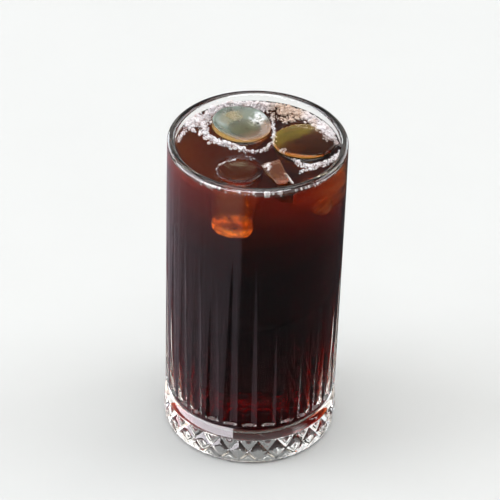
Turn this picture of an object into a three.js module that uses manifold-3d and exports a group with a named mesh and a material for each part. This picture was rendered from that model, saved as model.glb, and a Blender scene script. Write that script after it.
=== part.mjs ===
// Iced filter coffee in its fluted glass.
// Millimetres, +Z up, origin at the middle of the foot. -Y is the front.
// Azimuths are measured from -Y towards +X.

import * as THREE from 'three';
import { mergeVertices } from 'three/addons/utils/BufferGeometryUtils.js';
import { ConvexGeometry } from 'three/addons/geometries/ConvexGeometry.js';
import Module from 'manifold-3d';

// Glass: overall size and wall
const glassHeight = 146;
const rimRadius = 38;
const bodyFootRadius = 37.5;
const lipThickness = 3.3;
const innerFootRadius = 33.5;
const floorHeight = 8.5;
const innerCornerWidth = 13;
const innerCornerRise = 46;
const innerCornerPower = 2.6;

// Flutes: concave hollows that start as a point under the plain band, and widen and deepen down to the ring
const fluteCount = 28;
const firstArrisDeg = 6.8;
const fluteDepth = 1.3;
const fluteCurve = 0.117;
const fluteTopHeight = 114;
const fluteFullHeight = 22.4;
const fluteEndHeight = 21.3;
const fluteFade = 1.1;
const fluteInnerShare = 0.42;

// Plain ring between the flutes and the cut base, narrower at its top
const ringFootRadius = 37.6;
const ringFootHeight = 13.7;
const ringTopRadius = 36.65;
const ringTopHeight = 19.2;

// Cut base: two half rows of diamonds on a slightly barrelled wall
const diamondWaistHeight = 7.4;
const diamondHalfHeight = 5.5;
const diamondDepth = 0.7;
const baseRadius = 38;
const barrelSwell = 0.5;
const footRadius = 34.8;
const heelRadius = 36.7;
const heelHeight = 0.6;

// Steps round the glass, and down the rounded corner of its hollow
const coarseSteps = 2 * fluteCount;
const cornerSteps = 8;

// Drink
const liquidLevel = 141.5;
const meniscusRise = 0.7;
const meniscusWidth = 1.4;
const gap = 0.3;

// Foam: overlapping flattened bubbles along bands on the drink
const foamSpacing = 3.1;
const roundBubbleRadius = 1.5;
const foamFlatness = 0.75;
const foamUnevenness = 0.22;
const foamSeed = 7;

// Ice
const iceSteps = 22;
const edgeSteps = 3;

const glassMaterial = new THREE.MeshStandardMaterial({
  color: 0xe4ebee, roughness: 0.03, metalness: 0, transparent: true, opacity: 0.35,
});
const coffeeMaterial = new THREE.MeshStandardMaterial({ color: 0x2a0d06, roughness: 0.08, metalness: 0 });
const iceMaterial = new THREE.MeshStandardMaterial({
  color: 0xd9dedb, roughness: 0.06, metalness: 0, transparent: true, opacity: 0.5,
});

const wasm = await Module();
wasm.setup();

const radians = (degrees) => THREE.MathUtils.degToRad(degrees);
const mix = THREE.MathUtils.lerp;

// A point at a radius and azimuth, at a height
function polar(radius, azimuth, height) {
  return new THREE.Vector3(radius * Math.sin(azimuth), -radius * Math.cos(azimuth), height);
}

// A ring of points at one height. radiusAt gets the index of the point.
function ring(steps, height, radiusAt) {
  return Array.from({ length: steps }, (_, index) => {
    const azimuth = radians(firstArrisDeg) + (2 * Math.PI * index) / steps;
    return polar(radiusAt(index), azimuth, height);
  });
}

const plainRing = (radius, height) => ring(coarseSteps, height, () => radius);
const pole = (height) => [new THREE.Vector3(0, 0, height)];
const axisDistance = (point) => Math.hypot(point.x, point.y);

// Closes the strip between two rings. A quad is split along its deeper diagonal, so that
// grooves stay straight, and one ring may have twice the other's points or be a pole.
function bridge(addTriangle, lower, upper) {
  const cells = Math.max(1, Math.min(lower.length, upper.length));
  const steps = cells === 1 ? Math.max(lower.length, upper.length) : cells;
  for (let i = 0; i < steps; i += 1) {
    const next = (i + 1) % steps;
    if (lower.length === 1) {
      addTriangle(lower[0], upper[next], upper[i]);
    } else if (upper.length === 1) {
      addTriangle(lower[i], lower[next], upper[0]);
    } else if (upper.length === 2 * lower.length) {
      const middle = upper[2 * i + 1];
      addTriangle(lower[i], lower[next], middle);
      addTriangle(lower[i], middle, upper[2 * i]);
      addTriangle(lower[next], upper[2 * next], middle);
    } else if (lower.length === 2 * upper.length) {
      const middle = lower[2 * i + 1];
      addTriangle(upper[next], upper[i], middle);
      addTriangle(upper[i], lower[2 * i], middle);
      addTriangle(upper[next], middle, lower[2 * next]);
    } else {
      const rising = axisDistance(lower[i]) + axisDistance(upper[next]);
      const falling = axisDistance(lower[next]) + axisDistance(upper[i]);
      if (rising < falling) {
        addTriangle(lower[i], lower[next], upper[next]);
        addTriangle(lower[i], upper[next], upper[i]);
      } else {
        addTriangle(lower[i], lower[next], upper[i]);
        addTriangle(lower[next], upper[next], upper[i]);
      }
    }
  }
}

// A closed skin through rings that start and end at a pole
function loft(rings) {
  const corners = [];
  const addTriangle = (...points) => corners.push(...points);
  for (let i = 0; i + 1 < rings.length; i += 1) {
    bridge(addTriangle, rings[i], rings[i + 1]);
  }
  return new THREE.BufferGeometry().setFromPoints(corners);
}

// Points of a quarter or half turn, in the plane of radius and height
function arc(centreRadius, centreHeight, radius, fromDeg, toDeg, steps) {
  return Array.from({ length: steps + 1 }, (_, index) => {
    const angle = radians(mix(fromDeg, toDeg, index / steps));
    return [centreRadius + radius * Math.cos(angle), centreHeight + radius * Math.sin(angle)];
  });
}

// Inner wall of the glass, from the lip down to the middle of the floor.
// The corner is a quarter of an ellipse. shrink draws the outline inwards, for what fills the glass.
function cavityOutline(topHeight, shrink) {
  const lipRadius = rimRadius - lipThickness;
  const lipHeight = glassHeight - lipThickness / 2;
  const cornerHeight = floorHeight + innerCornerRise;
  const rise = (topHeight - cornerHeight) / (lipHeight - cornerHeight);
  const corner = arc(0, 0, 1, 0, -90, cornerSteps).map(([across, up]) => [
    innerFootRadius - innerCornerWidth
      + (innerCornerWidth - shrink) * Math.abs(across) ** (2 / innerCornerPower),
    cornerHeight - (innerCornerRise - shrink) * Math.abs(up) ** (2 / innerCornerPower),
  ]);
  return [[mix(innerFootRadius, lipRadius, rise) - shrink, topHeight], ...corner];
}

function barrelRadius(height) {
  const offset = (height - diamondWaistHeight) / diamondHalfHeight;
  return baseRadius - barrelSwell * offset * offset;
}

// Groove crossings lie under the flutes at the waist, and under the arrises above and below
function diamondRow(height, crossingParity) {
  const depthAt = (index) => (index % 2 === crossingParity ? diamondDepth : 0);
  return ring(coarseSteps, height, (index) => barrelRadius(height) - depthAt(index));
}

// Four points for each flute: its two edges on the body, and two points down in the hollow.
// A hollow of depth d is sqrt(d / fluteCurve) wide to each side.
function fluteRow(height) {
  const up = (height - fluteFullHeight) / (fluteTopHeight - fluteFullHeight);
  const bodyRadius = mix(bodyFootRadius, rimRadius, up);
  const depth = fluteDepth * Math.max(0, 1 - up) ** fluteFade;
  const pitch = (2 * Math.PI) / fluteCount;
  const half = Math.max(Math.sqrt(depth / fluteCurve) / rimRadius, 0.02 * pitch);
  const shares = [-1, -fluteInnerShare, fluteInnerShare, 1];
  return Array.from({ length: fluteCount }, (_, index) => {
    const centre = radians(firstArrisDeg) + (index + 0.5) * pitch;
    return shares.map((share) => {
      const hollow = depth * (1 - share * share);
      return polar(bodyRadius - hollow, centre + share * half, height);
    });
  }).flat();
}

function makeGlass() {
  const lipRadius = lipThickness / 2;
  const lip = arc(rimRadius - lipRadius, glassHeight - lipRadius, lipRadius, 0, 180, 2 * edgeSteps);
  const inside = cavityOutline(glassHeight - lipRadius, 0).slice(1);
  const fluteHeights = [fluteFullHeight, 45, 68, 90, 105, 111.5, fluteTopHeight];
  return loft([
    pole(0),
    plainRing(footRadius, 0),
    plainRing(heelRadius, heelHeight),
    diamondRow(diamondWaistHeight - diamondHalfHeight, 0),
    diamondRow(diamondWaistHeight, 1),
    diamondRow(diamondWaistHeight + diamondHalfHeight, 0),
    plainRing(ringFootRadius, ringFootHeight),
    plainRing(ringTopRadius, ringTopHeight),
    plainRing(bodyFootRadius, fluteEndHeight),
    ...fluteHeights.map(fluteRow),
    ...lip.map(([radius, height]) => plainRing(radius, height)),
    ...inside.map(([radius, height]) => plainRing(radius, height)),
    pole(floorHeight),
  ]);
}

// Manifold solids from closed geometries, and back
function toSolid(geometry) {
  const bare = geometry.clone();
  bare.deleteAttribute('normal');
  bare.deleteAttribute('uv');
  const merged = mergeVertices(bare, 1e-4);
  const source = merged.index.array;
  const kept = [];
  for (let i = 0; i < source.length; i += 3) {
    const [a, b, c] = source.slice(i, i + 3);
    if (a !== b && b !== c && c !== a) {
      kept.push(a, b, c);
    }
  }
  const vertProperties = new Float32Array(merged.attributes.position.array);
  return new wasm.Manifold(new wasm.Mesh({ numProp: 3, vertProperties, triVerts: new Uint32Array(kept) }));
}

function toGeometry(solid) {
  const mesh = solid.getMesh();
  const geometry = new THREE.BufferGeometry();
  geometry.setAttribute('position', new THREE.BufferAttribute(new Float32Array(mesh.vertProperties), 3));
  geometry.setIndex(new THREE.BufferAttribute(new Uint32Array(mesh.triVerts), 1));
  return geometry;
}

// The largest of the bodies that a cut leaves, without its loose scraps
function mainBody(solid) {
  return solid.decompose().reduce((best, piece) => (piece.volume() > best.volume() ? piece : best));
}

// A thimble of clear ice, moulded with its wide end up and a dish (or, below zero, a dome)
// in that end. swell makes every face stand out by that much.
function thimbleIce({ topRadius, tipRadius, length, dish, roundness }, swell) {
  const top = topRadius + swell;
  const tip = tipRadius + swell;
  const dishRadius = top - roundness;
  const steps = 3;
  const dishPoints = Array.from({ length: steps }, (_, index) => {
    const across = 1 - (index + 1) / steps;
    return [dishRadius * across, swell - dish * (1 - across * across)];
  });
  const outline = [
    [0, -length - swell],
    ...arc(tip - 2 * roundness, -length - swell + 2 * roundness, 2 * roundness, -90, 0, edgeSteps - 1),
    ...arc(top - roundness, swell - roundness, roundness, 0, 90, edgeSteps - 1),
    ...dishPoints,
  ];
  const geometry = new THREE.LatheGeometry(outline.map(([r, h]) => new THREE.Vector2(r, h)), iceSteps);
  return geometry.rotateX(Math.PI / 2);
}

// A cracked corner of ice: the hull of its corners, drawn outwards from their middle by swell
function shardIce(corners, swell) {
  const middle = corners.reduce((sum, corner) => sum.add(corner), new THREE.Vector3());
  middle.divideScalar(corners.length);
  return new ConvexGeometry(corners.map((corner) => {
    const outward = corner.clone().sub(middle).normalize();
    return corner.clone().addScaledVector(outward, swell);
  }));
}

// Places a thimble with the middle of its wide end at top, leaning by lean towards azimuth
function placeThimble(geometry, top, leanDeg, towardsDeg) {
  const direction = polar(1, radians(towardsDeg), 0);
  const axis = new THREE.Vector3(0, 0, 1).cross(direction).normalize();
  const turn = new THREE.Quaternion().setFromAxisAngle(axis, radians(leanDeg));
  return geometry.applyQuaternion(turn).translate(top.x, top.y, top.z);
}

const shardCorners = [
  [1.6, -13.8, 142.9], [5.2, -19.2, 143.2], [9.2, -12.8, 145.1], [13.9, -25.4, 142.6], [8.6, -27.2, 141.9],
  [6.2, -15.6, 132], [12.8, -13.6, 131.5], [13.2, -21.2, 132], [9.2, -22.6, 133],
].map((corner) => new THREE.Vector3(...corner));

const iceShapes = {
  ice_back_left: (swell) => placeThimble(
    thimbleIce({ topRadius: 12.4, tipRadius: 9.4, length: 26, dish: 4.2, roundness: 1.1 }, swell),
    new THREE.Vector3(-6.8, 15, 144.2), 6, 70,
  ),
  ice_back_right: (swell) => placeThimble(
    thimbleIce({ topRadius: 13.3, tipRadius: 10, length: 26, dish: -0.9, roundness: 1.4 }, swell),
    new THREE.Vector3(19.4, 5.6, 142.7), 4.5, 175,
  ),
  ice_front_left: (swell) => placeThimble(
    thimbleIce({ topRadius: 10, tipRadius: 7.6, length: 26.5, dish: 2.4, roundness: 1.1 }, swell),
    new THREE.Vector3(-7.6, -17.8, 141.9), 11, 172,
  ),
  ice_shard: (swell) => shardIce(shardCorners, swell * 1.6),
};

// Bands of foam: where the middle of the band runs on the drink, its half width and height
const foamBands = [
  { width: 1.2, height: 1.0, path: [[-33, 3.2], [-31.3, 8.6], [-29.6, 12.6]] },
  { width: 3.2, height: 2.2, path: [[-28.6, 14.5], [-26.6, 18.4], [-24.4, 22]] },
  { width: 2.0, height: 1.8, path: [[-23.6, 17], [-22.4, 9.4], [-18.9, 4.2], [-13.8, 1.4], [-7.8, -1.2]] },
  {
    width: 2.2, height: 3.0,
    path: [[-20.6, 21.6], [-17.4, 26.8], [-11.4, 29.9], [-4.8, 30.6], [0.4, 29.6]],
  },
  { width: 1.4, height: 1.2, path: [[-6.4, -2], [-0.4, -2.8], [4.4, -0.4], [6.3, 4.4]] },
  { width: 1.0, height: 1.4, path: [[6.6, 8], [6.6, 13], [6.2, 18], [5.8, 23]] },
  {
    width: 2.8, height: 1.9,
    path: [[8, 26.6], [13.5, 26.8], [18.5, 24.4], [23.5, 20.6], [27.6, 15.4], [30, 11]],
  },
  { width: 1.6, height: 1.2, path: [[15.6, -8.8], [18.8, -11.6], [23, -12.2], [27.4, -10], [31, -7]] },
  { width: 1.4, height: 1.0, path: [[17.8, -16.4], [21.4, -14.8], [25.2, -13.2]] },
];
const wallFoam = { width: 2.4, height: 2.0, radius: 31.9, fromDeg: -146, toDeg: -258 };

// Repeatable draw between 0 and 1
function makeDraw(seed) {
  let state = seed;
  return () => {
    state = (state * 16807) % 2147483647;
    return state / 2147483647;
  };
}

function wallFoamPath({ radius, fromDeg, toDeg }) {
  const steps = 12;
  return Array.from({ length: steps + 1 }, (_, index) => {
    const point = polar(radius, radians(mix(fromDeg, toDeg, index / steps)), 0);
    return [point.x, point.y];
  });
}

// Flattened bubbles side by side along a band, sunk by half into the drink
function foamBubbles({ width, height, path }, draw) {
  const curve = new THREE.CatmullRomCurve3(path.map(([x, y]) => new THREE.Vector3(x, y, liquidLevel)));
  const steps = Math.max(2, Math.round(curve.getLength() / foamSpacing));
  return curve.getSpacedPoints(steps).map((point) => {
    const size = 1 + foamUnevenness * (2 * draw() - 1);
    const radius = Math.max(width, height / foamFlatness) * size;
    const bubble = new THREE.IcosahedronGeometry(radius, radius > roundBubbleRadius ? 1 : 0);
    bubble.rotateZ(2 * Math.PI * draw());
    bubble.scale(1, 1, (height * size) / radius);
    return bubble.translate(point.x, point.y, point.z);
  });
}

function drinkBody(topHeight) {
  const [top, ...corner] = cavityOutline(topHeight, gap);
  return loft([
    pole(floorHeight + gap),
    ...corner.reverse().map(([radius, height]) => plainRing(radius, height)),
    plainRing(top[0], top[1]),
    plainRing(top[0] - meniscusWidth, liquidLevel),
    pole(liquidLevel),
  ]);
}

// The space inside the glass up to the rim, which no foam may leave
function cavityLimit() {
  const [top, ...corner] = cavityOutline(glassHeight, gap);
  return loft([
    pole(floorHeight + gap),
    ...corner.reverse().map(([radius, height]) => plainRing(radius, height)),
    plainRing(top[0], top[1]),
    pole(glassHeight),
  ]);
}

function makeCoffee() {
  const draw = makeDraw(foamSeed);
  const bands = [...foamBands, { ...wallFoam, path: wallFoamPath(wallFoam) }];
  const bubbles = bands.flatMap((band) => foamBubbles(band, draw)).map(toSolid);
  const foam = toSolid(cavityLimit()).intersect(wasm.Manifold.union(bubbles));
  let solid = toSolid(drinkBody(liquidLevel + meniscusRise)).add(foam);
  Object.values(iceShapes).forEach((shape) => {
    solid = solid.subtract(toSolid(shape(gap)));
  });
  return toGeometry(mainBody(solid));
}

function addMesh(group, name, geometry, material) {
  const mesh = new THREE.Mesh(geometry, material);
  mesh.name = name;
  group.add(mesh);
}

const icedCoffee = new THREE.Group();
icedCoffee.name = 'iced_filter_coffee';
addMesh(icedCoffee, 'glass', makeGlass(), glassMaterial);
addMesh(icedCoffee, 'coffee', makeCoffee(), coffeeMaterial);
Object.entries(iceShapes).forEach(([name, shape]) => {
  addMesh(icedCoffee, name, toGeometry(toSolid(shape(0))), iceMaterial);
});

export default icedCoffee;
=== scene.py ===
"""Iced filter coffee in a fluted glass with a cut base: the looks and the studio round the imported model.

Every length in a class is in millimetres and turns into metres when a mesh is made. The glass stands
at the origin, +Z up, with its front towards -Y. Azimuths are measured from -Y towards +X.
"""

import logging
import math
from dataclasses import dataclass, field
from enum import Enum
from itertools import combinations
from typing import Any, Sequence

import bpy
import numpy as np
from mathutils import Matrix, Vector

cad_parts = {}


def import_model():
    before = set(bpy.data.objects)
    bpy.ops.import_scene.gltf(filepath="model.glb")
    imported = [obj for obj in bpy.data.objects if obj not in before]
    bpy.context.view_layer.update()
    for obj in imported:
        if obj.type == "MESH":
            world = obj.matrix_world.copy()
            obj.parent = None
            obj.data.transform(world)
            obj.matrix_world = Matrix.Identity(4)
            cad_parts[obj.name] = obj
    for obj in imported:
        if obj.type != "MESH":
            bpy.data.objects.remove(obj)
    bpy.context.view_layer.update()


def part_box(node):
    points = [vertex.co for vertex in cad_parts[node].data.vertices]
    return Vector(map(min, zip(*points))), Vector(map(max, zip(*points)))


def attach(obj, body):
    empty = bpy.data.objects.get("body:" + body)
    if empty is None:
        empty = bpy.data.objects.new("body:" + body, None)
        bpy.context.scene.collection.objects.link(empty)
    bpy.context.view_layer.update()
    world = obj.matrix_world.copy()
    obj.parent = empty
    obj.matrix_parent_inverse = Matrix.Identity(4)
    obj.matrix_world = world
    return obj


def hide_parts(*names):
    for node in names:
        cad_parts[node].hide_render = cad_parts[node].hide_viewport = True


MM = 0.001
BODY = "root"
LOG = logging.getLogger("iced_coffee")

Array = np.ndarray
Colour = tuple[float, float, float, float]
Triple = tuple[float, float, float]
Span = tuple[float, float]

WHITE: Colour = (1.0, 1.0, 1.0, 1.0)
BLACK: Colour = (0.0, 0.0, 0.0, 1.0)
GLASS_INDEX = 1.5
COFFEE_INDEX = 1.333
ICE_INDEX = 1.31


class Node(Enum):
    """Names of the model's nodes that the pieces here stand for."""

    GLASS = "glass"
    COFFEE = "coffee"
    ICE_BACK_LEFT = "ice_back_left"
    ICE_BACK_RIGHT = "ice_back_right"
    ICE_FRONT_LEFT = "ice_front_left"
    ICE_SHARD = "ice_shard"


class Slot(Enum):
    """Material slots of the record."""

    GLASS = "glass"
    COFFEE = "coffee"
    ICE = "ice"


# Shader building


class Wire:
    """A node's output socket, with arithmetic that adds Math nodes."""

    def __init__(self, graph: "Graph", socket: bpy.types.NodeSocket) -> None:
        """Keeps the graph and the socket."""
        self.graph = graph
        self.socket = socket

    def _math(self, operation: str, *values: Any) -> "Wire":
        """Adds a Math node.

        Args:
            operation: the Math node's operation.
            values: its inputs, as numbers or wires.

        Returns:
            The node's value.
        """
        return self.graph.node("ShaderNodeMath", {"operation": operation}, dict(enumerate(values)))

    def __add__(self, other: Any) -> "Wire":
        """Sum."""
        return self._math("ADD", self, other)

    def __radd__(self, other: Any) -> "Wire":
        """Sum, with the number first."""
        return self._math("ADD", other, self)

    def __sub__(self, other: Any) -> "Wire":
        """Difference."""
        return self._math("SUBTRACT", self, other)

    def __rsub__(self, other: Any) -> "Wire":
        """Difference, with the number first."""
        return self._math("SUBTRACT", other, self)

    def __mul__(self, other: Any) -> "Wire":
        """Product."""
        return self._math("MULTIPLY", self, other)

    def __rmul__(self, other: Any) -> "Wire":
        """Product, with the number first."""
        return self._math("MULTIPLY", other, self)

    def __truediv__(self, other: Any) -> "Wire":
        """Quotient."""
        return self._math("DIVIDE", self, other)

    def __pow__(self, other: Any) -> "Wire":
        """Power."""
        return self._math("POWER", self, other)

    def __gt__(self, other: Any) -> "Wire":
        """1 where this is greater, else 0."""
        return self._math("GREATER_THAN", self, other)

    def __lt__(self, other: Any) -> "Wire":
        """1 where this is less, else 0."""
        return self._math("LESS_THAN", self, other)

    def turn_from(self, other: Any) -> "Wire":
        """Angle in radians whose sine goes with this and whose cosine goes with the other."""
        return self._math("ARCTAN2", self, other)

    def arcsine(self) -> "Wire":
        """Arcsine in radians."""
        return self._math("ARCSINE", self)

    def smallest(self, other: Any) -> "Wire":
        """The smaller of two values."""
        return self._math("MINIMUM", self, other)

    def largest(self, other: Any) -> "Wire":
        """The larger of two values."""
        return self._math("MAXIMUM", self, other)

    def ramp(self, low: float, high: float) -> "Wire":
        """A smooth step from 0 at low to 1 at high."""
        inputs = {"Value": self, "From Min": low, "From Max": high}
        return self.graph.node("ShaderNodeMapRange", {"interpolation_type": "SMOOTHSTEP"}, inputs)


class Graph:
    """The node graph of one material or world."""

    def __init__(self, tree: bpy.types.NodeTree) -> None:
        """Empties the tree."""
        self.tree = tree
        self.tree.nodes.clear()

    def make(self, kind: str, settings: dict[str, Any] | None = None,
             inputs: dict[str | int, Any] | None = None) -> bpy.types.Node:
        """Adds a node.

        Args:
            kind: the node's type name.
            settings: attributes, set first.
            inputs: values or wires, by socket name or number.

        Returns:
            The node.
        """
        node = self.tree.nodes.new(kind)
        for name, value in (settings or {}).items():
            setattr(node, name, value)
        for key, value in (inputs or {}).items():
            if isinstance(value, Wire):
                self.tree.links.new(value.socket, node.inputs[key])
            else:
                node.inputs[key].default_value = value
        return node

    def node(self, kind: str, settings: dict[str, Any] | None = None,
             inputs: dict[str | int, Any] | None = None, output: str | int = 0) -> Wire:
        """Adds a node as make does.

        Args:
            kind: the node's type name.
            settings: attributes, set first.
            inputs: values or wires, by socket name or number.
            output: name or number of the output that is wanted.

        Returns:
            That output of the node.
        """
        return Wire(self, self.make(kind, settings, inputs).outputs[output])

    def place(self) -> Wire:
        """Object coordinates, in metres."""
        return self.node("ShaderNodeTexCoord", output="Object")

    def axes(self) -> tuple[Wire, Wire, Wire]:
        """Object coordinates one by one.

        Returns:
            x, y and z in millimetres.
        """
        split = self.make("ShaderNodeSeparateXYZ", None, {0: self.place()})
        x, y, z = (Wire(self, socket) / MM for socket in split.outputs)
        return x, y, z

    def normal_z(self) -> Wire:
        """How far the surface faces up, from -1 to 1."""
        normal = self.node("ShaderNodeNewGeometry", output="Normal")
        return self.node("ShaderNodeSeparateXYZ", None, {0: normal}, "Z")

    def noise(self, size: float, detail: float = 2.0, roughness: float = 0.5) -> Wire:
        """Noise on Object coordinates, with features of about size millimetres."""
        inputs = {"Vector": self.place(), "Scale": 1 / (size * MM), "Detail": detail, "Roughness": roughness}
        return self.node("ShaderNodeTexNoise", None, inputs, "Fac")

    def bump(self, height: Wire, depth: float) -> Wire:
        """A Bump node's normal, for relief of a depth in millimetres."""
        inputs = {"Strength": 1.0, "Distance": depth * MM, "Height": height}
        return self.node("ShaderNodeBump", None, inputs, "Normal")

    def blend(self, factor: Wire, first: Any, second: Any) -> Wire:
        """A colour between two."""
        inputs = {0: factor, 6: first, 7: second}
        return self.node("ShaderNodeMix", {"data_type": "RGBA"}, inputs, 2)

    def add_colour(self, base: Wire, added: Colour, factor: Wire) -> Wire:
        """A colour with a share of another added."""
        settings = {"data_type": "RGBA", "blend_type": "ADD", "clamp_factor": False}
        return self.node("ShaderNodeMix", settings, {0: factor, 6: base, 7: added}, 2)

    def principled(self, inputs: dict[str, Any]) -> Wire:
        """A Principled shader."""
        return self.node("ShaderNodeBsdfPrincipled", None, inputs)

    def finish(self, surface: Wire, volume: Wire | None = None) -> None:
        """Adds the output of a material."""
        inside = {} if volume is None else {"Volume": volume}
        self.make("ShaderNodeOutputMaterial", None, {"Surface": surface} | inside)


def new_material(name: str) -> tuple[bpy.types.Material, Graph]:
    """Makes an empty node material.

    Args:
        name: its name.

    Returns:
        The material and its graph.
    """
    material = bpy.data.materials.new(name)
    material.use_nodes = True
    return material, Graph(material.node_tree)


def distance(first: Wire, second: Wire, middle: Sequence[float]) -> Wire:
    """How far a place is from a middle, by two of its coordinates."""
    return ((first - middle[0]) ** 2.0 + (second - middle[1]) ** 2.0) ** 0.5


def absorbing(graph: Graph, per_mm: Sequence[float]) -> Wire:
    """A volume that takes light away along its path.

    Args:
        graph: the material's graph.
        per_mm: the shares of red, green and blue that each millimetre takes.

    Returns:
        The volume.
    """
    strongest = max(per_mm)
    kept = tuple(1 - value / strongest for value in per_mm)
    inputs = {"Color": (*kept, 1.0), "Density": strongest / MM}
    return graph.node("ShaderNodeVolumeAbsorption", None, inputs)


@dataclass(frozen=True)
class Mottle:
    """Uneven shading: noise of a size in millimetres, cut between two levels, scaled and then raised."""

    size: float
    detail: float = 2.0
    roughness: float = 0.5
    levels: Span = (0.35, 0.65)
    gain: float = 1.0
    base: float = 0.0

    def over(self, graph: Graph) -> Wire:
        """The shading at each place."""
        return graph.noise(self.size, self.detail, self.roughness).ramp(*self.levels) * self.gain + self.base


CLOUD_PATCHES = Mottle(9.0, 4.0, 0.6, (0.35, 0.65), 0.45, 0.6)
CLOUD_LUMPS = Mottle(4.0, 2.0, 0.5, (0.38, 0.6), 0.6, 0.4)
# Streaks of the painted white highlights on ice.
HIGHLIGHT_STREAKS = Mottle(2.2, 3.0, 0.7, (0.38, 0.62))
# Lumps of the painted glow in ice.
GLOW_LUMPS = Mottle(3.0, 3.0, 0.6, (0.35, 0.65), 0.7, 0.3)
FOAM_SHADE = Mottle(3.0, 3.0, 0.5, (0.4, 0.72))
FOAM_STAINS = Mottle(7.0, 2.0, 0.5, (0.6, 0.8), 0.5)


@dataclass(frozen=True)
class ClearFinish:
    """Clear glass, seen through, with faint waves on its skin."""

    name: str
    index: float = GLASS_INDEX
    tint: Colour = (0.985, 0.995, 0.99, 1.0)
    wave_size: float = 16.0
    wave_depth: float = 0.0

    def material(self) -> bpy.types.Material:
        """Builds the material.

        Returns:
            The material.
        """
        material, graph = new_material(self.name)
        inputs = {"Base Color": self.tint, "Roughness": 0.0, "IOR": self.index, "Transmission Weight": 1.0}
        if self.wave_depth > 0:
            inputs["Normal"] = graph.bump(graph.noise(self.wave_size), self.wave_depth)
        graph.finish(graph.principled(inputs))
        return material


@dataclass(frozen=True)
class CoffeeFinish:
    """Black coffee: clear, and darkened by its depth. Where it wets the glass it bends no light itself."""

    name: str = "black_coffee"
    absorption: Triple = (0.022, 0.070, 0.170)
    wall_radius: float = 33.2
    wall_top: float = 141.2
    turns_in_below: float = 60.0
    ripple_size: float = 6.0
    ripple_depth: float = 0.05

    def material(self) -> bpy.types.Material:
        """Builds the material.

        Its skin is wetted outside the wall's radius up to the wall's top, and everywhere below the height
        where the wall turns in. Elsewhere it is free and faintly rippled.

        Returns:
            The material, with absorption inside it.
        """
        material, graph = new_material(self.name)
        x, y, z = graph.axes()
        radius = (x * x + y * y) ** 0.5
        wetted = ((radius > self.wall_radius) * (z < self.wall_top)).largest(z < self.turns_in_below)
        ripple = graph.bump(graph.noise(self.ripple_size), self.ripple_depth)
        clear = {"Base Color": WHITE, "Roughness": 0.0, "Transmission Weight": 1.0}
        free = graph.principled(clear | {"IOR": COFFEE_INDEX, "Normal": ripple})
        wall = graph.principled(clear | {"IOR": 1.0})
        surface = graph.node("ShaderNodeMixShader", None, {0: wetted, 1: free, 2: wall})
        graph.finish(surface, absorbing(graph, self.absorption))
        return material


@dataclass(frozen=True)
class LayerFinish:
    """What a layer inside the coffee adds to it: absorption, or a red-brown haze. It has no skin."""

    name: str
    absorption: Triple | None
    haze: float
    haze_colour: Colour = (1.0, 0.22, 0.035, 1.0)

    def material(self) -> bpy.types.Material:
        """Builds the material.

        Returns:
            The material.
        """
        material, graph = new_material(self.name)
        if self.absorption:
            inside = absorbing(graph, self.absorption)
        else:
            inside = graph.node("ShaderNodeVolumeScatter", None, {
                "Color": self.haze_colour, "Density": self.haze / MM, "Anisotropy": 0.2})
        graph.finish(graph.node("ShaderNodeBsdfTransparent"), inside)
        return material


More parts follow.
